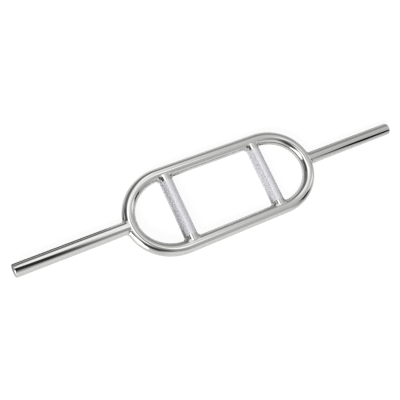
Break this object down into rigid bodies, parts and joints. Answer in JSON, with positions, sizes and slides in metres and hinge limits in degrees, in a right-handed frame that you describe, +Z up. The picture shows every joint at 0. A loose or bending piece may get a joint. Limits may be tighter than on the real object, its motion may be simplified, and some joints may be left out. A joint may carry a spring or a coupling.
{
  "type": "triceps bar",
  "caption": "Closed racetrack loop of round chromed bar with parallel knurled hand grips across it and a plain round end bar out of each rounded end for weight plates.",
  "frame": {"origin": "centre of the loop, on the middle plane that all the bars share, which is the centre of the whole bar", "axes": "+X along the end bars, to the right in the picture; +Y along the hand grips, away from the viewer; +Z up, square to the plane of the loop"},
  "size_m": [0.864, 0.178, 0.027],
  "materials": {
    "loop_chrome": "polished chrome plate",
    "end_bar_chrome": "polished chrome plate",
    "weld_chrome": "rippled weld bead under chrome plate",
    "grip_knurled": "fine diamond knurl under satin chrome plate"
  },
  "bodies": {
    "root": {"loop_left": "loop_chrome", "loop_right": "loop_chrome", "butt_weld_near": "loop_chrome", "butt_weld_far": "loop_chrome", "end_bar_left": "end_bar_chrome", "end_bar_right": "end_bar_chrome", "end_weld_left": "weld_chrome", "end_weld_right": "weld_chrome", "grip_left": "grip_knurled", "grip_right": "grip_knurled", "grip_weld_left_near": "weld_chrome", "grip_weld_left_far": "weld_chrome", "grip_weld_right_near": "weld_chrome", "grip_weld_right_far": "weld_chrome"}
  },
  "joints": []
}
